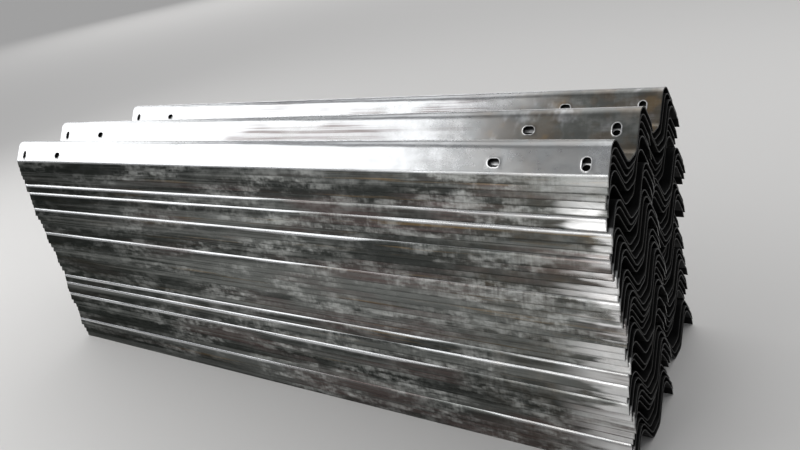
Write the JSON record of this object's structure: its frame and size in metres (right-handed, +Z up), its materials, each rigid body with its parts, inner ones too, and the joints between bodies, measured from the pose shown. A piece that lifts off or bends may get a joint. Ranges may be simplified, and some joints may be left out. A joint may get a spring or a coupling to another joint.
{
  "type": "stack of guardrail rail sections",
  "caption": "Two columns of nested two-wave steel guardrail rails, crests up, with splice and post slots at both ends, stacked on the ground as stored before erection.",
  "frame": {"origin": "on the ground under the middle of the front column's lowest rail, on the underside of its valley", "axes": "+X along the rails, +Y from the front column to the rear one, +Z up"},
  "size_m": [2.386, 0.7204, 0.8377],
  "materials": {
    "zinc_front": "hot-dip galvanised, bright and mottled",
    "zinc_rear": "hot-dip galvanised, mottled"
  },
  "bodies": {
    "root": {"front_rail_01": "zinc_front", "front_rail_02": "zinc_front", "front_rail_03": "zinc_front", "front_rail_04": "zinc_front", "front_rail_05": "zinc_front", "front_rail_06": "zinc_front", "front_rail_07": "zinc_front", "front_rail_08": "zinc_front", "front_rail_09": "zinc_front", "front_rail_10": "zinc_front", "front_rail_11": "zinc_front", "front_rail_12": "zinc_front", "front_rail_13": "zinc_front", "front_rail_14": "zinc_front", "front_rail_15": "zinc_front", "front_rail_16": "zinc_front", "front_rail_17": "zinc_front", "front_rail_18": "zinc_front", "front_rail_19": "zinc_front", "front_rail_20": "zinc_front", "front_rail_21": "zinc_front", "front_rail_22": "zinc_front", "front_rail_23": "zinc_front", "front_rail_24": "zinc_front", "front_rail_25": "zinc_front", "front_rail_26": "zinc_front", "front_rail_27": "zinc_front", "front_rail_28": "zinc_front", "front_rail_29": "zinc_front", "front_rail_30": "zinc_front", "front_rail_31": "zinc_front", "front_rail_32": "zinc_front", "front_rail_33": "zinc_front", "front_rail_34": "zinc_front", "front_rail_35": "zinc_front", "front_rail_36": "zinc_front", "front_rail_37": "zinc_front", "rear_lift_1": "zinc_rear", "rear_lift_2": "zinc_rear", "rear_lift_3": "zinc_rear", "rear_lift_4": "zinc_rear", "rear_lift_5": "zinc_rear", "rear_rail_33": "zinc_rear", "rear_rail_34": "zinc_rear"}
  },
  "joints": []
}
